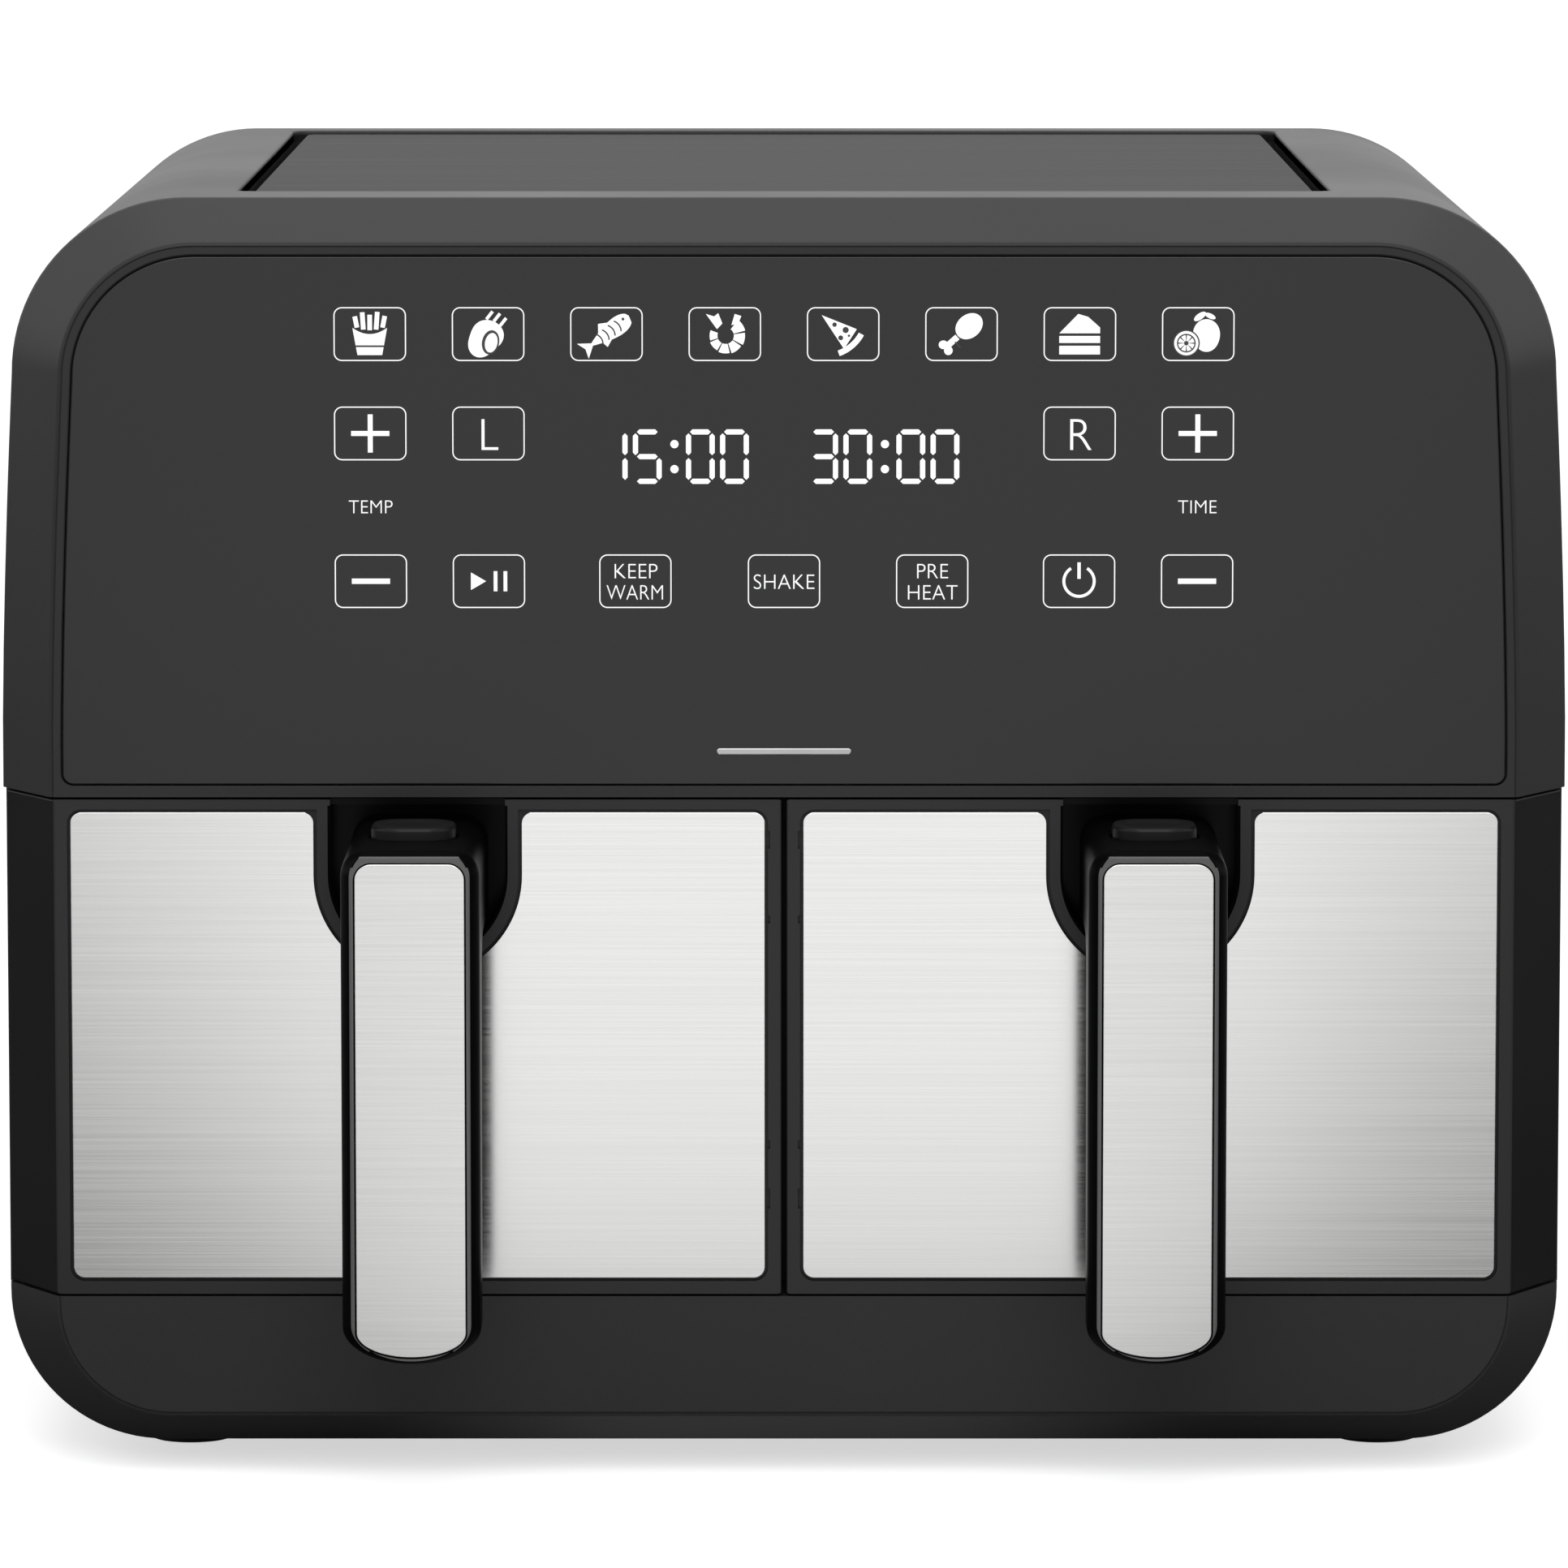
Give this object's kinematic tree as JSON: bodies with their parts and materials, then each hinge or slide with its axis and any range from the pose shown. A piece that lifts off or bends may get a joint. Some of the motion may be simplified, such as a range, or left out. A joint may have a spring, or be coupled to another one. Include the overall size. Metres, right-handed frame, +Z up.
{
  "type": "dual drawer air fryer",
  "caption": "Countertop hot-air fryer with a wide touch panel, side-by-side drawers with brushed fronts and upright handles, release buttons, fans and heaters.",
  "frame": {"origin": "middle of the bounding box's footprint, on the surface the feet stand on", "axes": "+X to the user's right as they face the panel, +Y from the handles to the back, +Z up"},
  "size_m": [0.385, 0.417, 0.3135],
  "materials": {
    "shell": "finely textured black",
    "top": "satin black",
    "drawer": "satin black",
    "gloss": "polished black",
    "panel": "glossy black, printed",
    "steel": "brushed across the width",
    "nonstick": "non-stick coated steel",
    "chamber": "aluminised sheet",
    "heater": "oxidised steel tube",
    "fan": "stamped sheet",
    "bright": "bright wire and rod",
    "motor": "zinc-plated can",
    "board": "solder-masked board",
    "display": "dark filter",
    "rubber": "moulded",
    "silicone": "heat-proof silicone",
    "fastener": "blackened steel"
  },
  "bodies": {
    "body": {"upper_housing": "shell", "lower_housing": "shell", "base": "shell", "rear_cover": "shell", "top_plate": "top", "control_panel": "panel", "display_board": "board", "left_led_display": "display", "right_led_display": "display", "power_board": "board", "cord_gland": "rubber", "foot_front_left": "rubber", "foot_front_right": "rubber", "foot_back_left": "rubber", "foot_back_right": "rubber", "cover_screw_lower_left": "fastener", "cover_screw_upper_left": "fastener", "cover_screw_lower_right": "fastener", "cover_screw_upper_right": "fastener", "left_chamber": "chamber", "left_exhaust_duct": "chamber", "left_heater_guard": "chamber", "left_heater": "heater", "left_motor": "motor", "right_chamber": "chamber", "right_exhaust_duct": "chamber", "right_heater_guard": "chamber", "right_heater": "heater", "right_motor": "motor"},
    "left_drawer": {"left_drawer_front": "drawer", "left_steel_plate": "steel", "left_handle": "gloss", "left_handle_inlay": "steel", "left_pan": "nonstick", "left_button_spring": "bright"},
    "left_button": {"left_release_button": "gloss"},
    "left_crisper": {"left_crisper_plate": "nonstick", "left_bumper_front_left": "silicone", "left_bumper_front_right": "silicone", "left_bumper_back_left": "silicone", "left_bumper_back_right": "silicone"},
    "left_fans": {"left_convection_fan": "fan", "left_motor_shaft": "bright", "left_cooling_fan": "fan"},
    "right_drawer": {"right_drawer_front": "drawer", "right_steel_plate": "steel", "right_handle": "gloss", "right_handle_inlay": "steel", "right_pan": "nonstick", "right_button_spring": "bright"},
    "right_button": {"right_release_button": "gloss"},
    "right_crisper": {"right_crisper_plate": "nonstick", "right_bumper_front_left": "silicone", "right_bumper_front_right": "silicone", "right_bumper_back_left": "silicone", "right_bumper_back_right": "silicone"},
    "right_fans": {"right_convection_fan": "fan", "right_motor_shaft": "bright", "right_cooling_fan": "fan"}
  },
  "joints": [
    {"name": "left_drawer_slide", "type": "slide", "parent": "body", "child": "left_drawer", "axis": [0, -1, 0], "range_m": [0, 0.3]},
    {"name": "right_drawer_slide", "type": "slide", "parent": "body", "child": "right_drawer", "axis": [0, -1, 0], "range_m": [0, 0.3]},
    {"name": "left_button_press", "type": "slide", "parent": "left_drawer", "child": "left_button", "axis": [0, 0, -1], "range_m": [0, 0.0025], "stiffness_N_per_m": 300, "springref_m": -0.003, "deforming": ["left_button_spring"]},
    {"name": "right_button_press", "type": "slide", "parent": "right_drawer", "child": "right_button", "axis": [0, 0, -1], "range_m": [0, 0.0025], "stiffness_N_per_m": 300, "springref_m": -0.003, "deforming": ["right_button_spring"]},
    {"name": "left_crisper_lift", "type": "slide", "parent": "left_drawer", "child": "left_crisper", "axis": [0, 0, 1], "range_m": [0, 0.09]},
    {"name": "right_crisper_lift", "type": "slide", "parent": "right_drawer", "child": "right_crisper", "axis": [0, 0, 1], "range_m": [0, 0.09]},
    {"name": "left_fan_spin", "type": "hinge", "parent": "body", "child": "left_fans", "pos_m": [-0.0961, 0.0264, 0.1982], "axis": [0, 0, 1], "continuous": true},
    {"name": "right_fan_spin", "type": "hinge", "parent": "body", "child": "right_fans", "pos_m": [0.0961, 0.0264, 0.1982], "axis": [0, 0, 1], "continuous": true}
  ]
}
